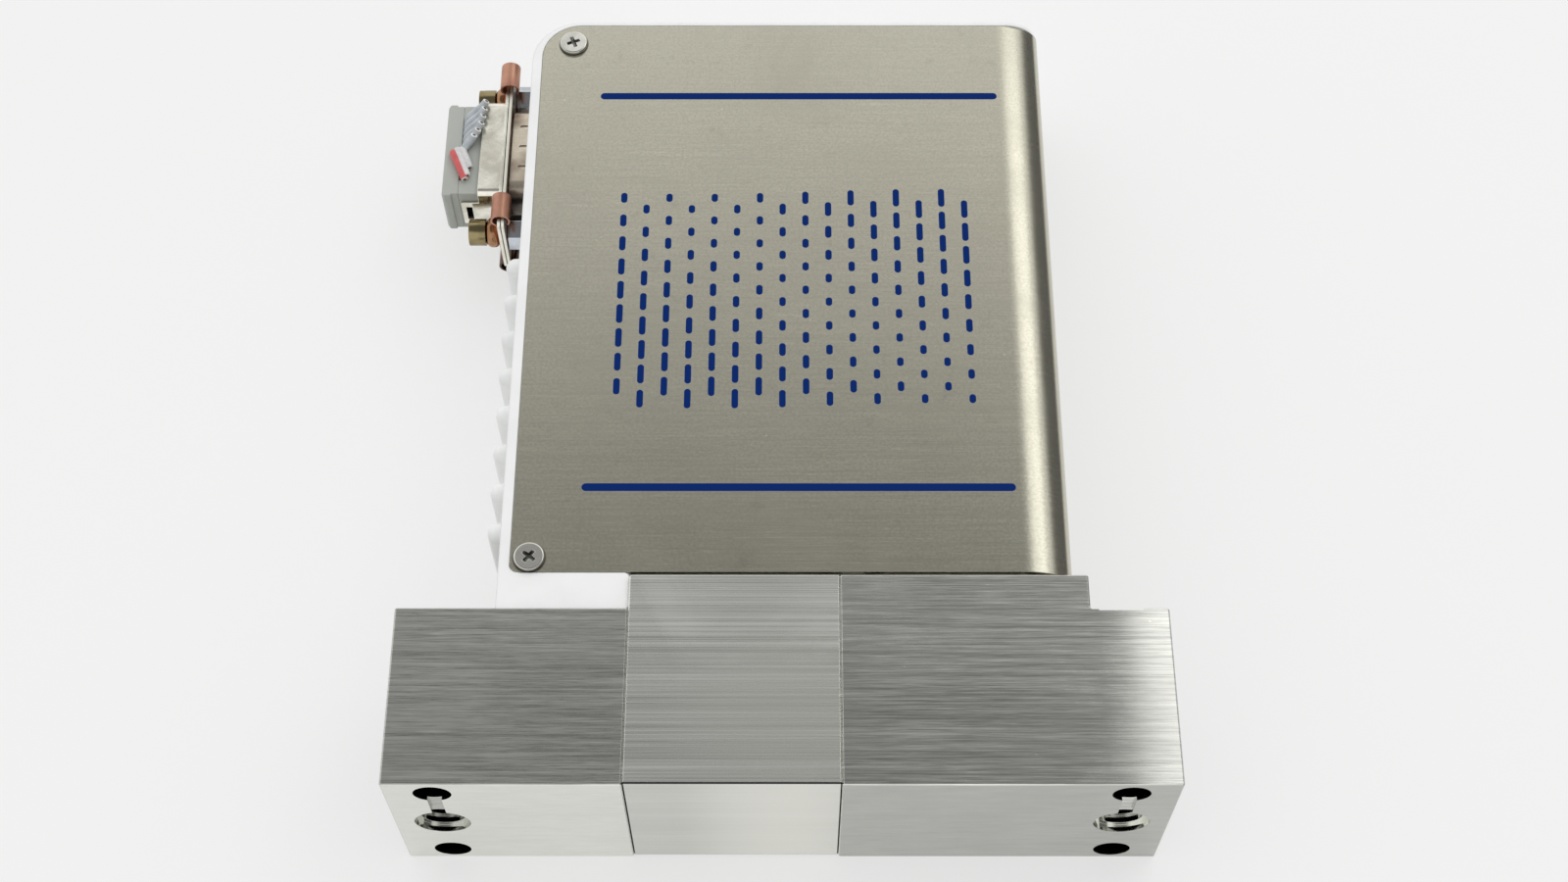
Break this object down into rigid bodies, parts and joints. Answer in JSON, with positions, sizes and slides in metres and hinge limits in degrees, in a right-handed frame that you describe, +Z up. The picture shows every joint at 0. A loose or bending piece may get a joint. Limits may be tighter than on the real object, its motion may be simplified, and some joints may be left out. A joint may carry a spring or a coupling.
{
  "type": "mass flow controller",
  "caption": "Slim gas mass flow controller: blocked stainless surface-mount base, brushed folded cover, ribbed white end housing and a mated ribbon-cable plug.",
  "frame": {"origin": "centre of the mounting face, midway between the two gas ports", "axes": "+X along the base from inlet to outlet, +Y from the mounting face up through the instrument, +Z across its width; the unit lies on its side, so +Z is up"},
  "size_m": [0.1055, 0.1269, 0.0286],
  "materials": {
    "stainless_block": "brushed stainless",
    "cover_steel": "brushed stainless sheet",
    "white_moulding": "fine satin moulding",
    "screw_steel": "polished",
    "socket_screw_steel": "satin",
    "nickel_plate": "bright nickel plate",
    "dull_plate": "yellow passivated plate",
    "copper": "polished copper alloy",
    "brass": "turned brass",
    "grey_plastic": "satin moulding",
    "dark_plastic": "satin moulding",
    "ribbon_jacket": "ribbed jacket",
    "gold_contact": "gold flash",
    "board_green": "solder mask",
    "package_black": "moulded package",
    "seal_elastomer": "matt",
    "turned_steel": "turned",
    "magnetic_steel": "turned",
    "spring_steel": "rolled",
    "winding_copper": "enamelled wire",
    "bobbin_plastic": "natural moulding",
    "anodised": "bead blasted"
  },
  "bodies": {
    "body": {"inlet_block": "stainless_block", "center_block": "stainless_block", "outlet_block": "stainless_block", "tie_screws": "socket_screw_steel", "block_seals": "seal_elastomer", "bypass_element": "turned_steel", "sensor_base": "turned_steel", "sensor_tube": "turned_steel", "sensor_windings": "winding_copper", "sensor_cover": "anodised", "sensor_screws": "screw_steel", "pressure_transducer": "turned_steel", "valve_seat": "turned_steel", "valve_spring": "spring_steel", "valve_guide": "turned_steel", "valve_core": "magnetic_steel", "valve_bobbin": "bobbin_plastic", "valve_coil": "winding_copper", "valve_yoke": "magnetic_steel", "valve_nut": "brass", "valve_screws": "screw_steel", "housing": "white_moulding", "housing_screws": "screw_steel", "steel_cover": "cover_steel", "cover_screws": "screw_steel", "control_board": "board_green", "board_components": "package_black", "dsub_shell": "dull_plate", "dsub_insert": "dark_plastic", "dsub_pins": "gold_contact", "jack_posts": "nickel_plate", "plug_front_shell": "nickel_plate", "plug_rear_shell": "nickel_plate", "plug_insulator": "dark_plastic", "plug_body": "grey_plastic", "plug_cap": "grey_plastic", "jackscrews": "brass", "jackscrew_bushes": "copper", "flange_clips": "copper", "ribbon_stub": "ribbon_jacket"},
    "plunger": {"valve_plunger": "magnetic_steel"}
  },
  "joints": [
    {"name": "valve_stroke", "type": "slide", "parent": "body", "child": "plunger", "axis": [0, 1, 0], "range_m": [0, 0.0004], "stiffness_N_per_m": 800, "springref_m": -0.0015}
  ]
}
